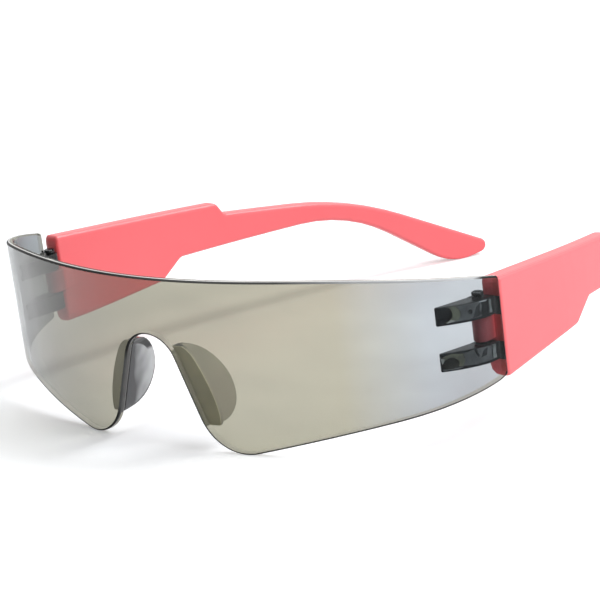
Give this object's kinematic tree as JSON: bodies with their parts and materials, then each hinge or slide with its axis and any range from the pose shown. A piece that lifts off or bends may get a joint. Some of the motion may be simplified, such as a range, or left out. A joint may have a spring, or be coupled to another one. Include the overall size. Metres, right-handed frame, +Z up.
{
  "type": "sunglasses",
  "caption": "Rimless wrap sunglasses with a one-piece mirror shield, glued hinge lugs and nose pads, and thick stepped temples that fold behind the shield.",
  "frame": {"origin": "on the surface that the sunglasses stand on, under the middle of their bounding box", "axes": "+X to the right as seen from in front, across the mirror plane; +Y from the shield back to the temple tips; +Z up. At rest the glasses lean forward 2.9 degrees, on their nose lobes and temple tips"},
  "size_m": [0.1442, 0.1856, 0.0408],
  "materials": {
    "lens": "smoke tinted plastic sheet with a neutral mirror coating and polished edges",
    "smoke_plastic": "glossy translucent smoke plastic",
    "hinge_plastic": "glossy dark smoke plastic",
    "screw_steel": "plain bright steel",
    "temple_plastic": "coral pink moulded plastic with a soft gloss"
  },
  "bodies": {
    "root": {"lens_shield": "lens", "nose_pad_left": "smoke_plastic", "nose_pad_right": "smoke_plastic", "lug_upper_left": "hinge_plastic", "lug_lower_left": "hinge_plastic", "lug_upper_right": "hinge_plastic", "lug_lower_right": "hinge_plastic", "hinge_screw_left": "screw_steel", "hinge_screw_right": "screw_steel"},
    "temple_right": {"temple_right": "temple_plastic"},
    "temple_left": {"temple_left": "temple_plastic"}
  },
  "joints": [
    {"name": "right_temple_fold", "type": "hinge", "parent": "root", "child": "temple_right", "pos_m": [0.06692, -0.0556, 0.02519], "axis": [0, -0.051, 0.9987], "range_deg": [0, 87]},
    {"name": "left_temple_fold", "type": "hinge", "parent": "root", "child": "temple_left", "pos_m": [-0.06692, -0.0556, 0.02519], "axis": [0, 0.051, -0.9987], "range_deg": [0, 76]}
  ]
}
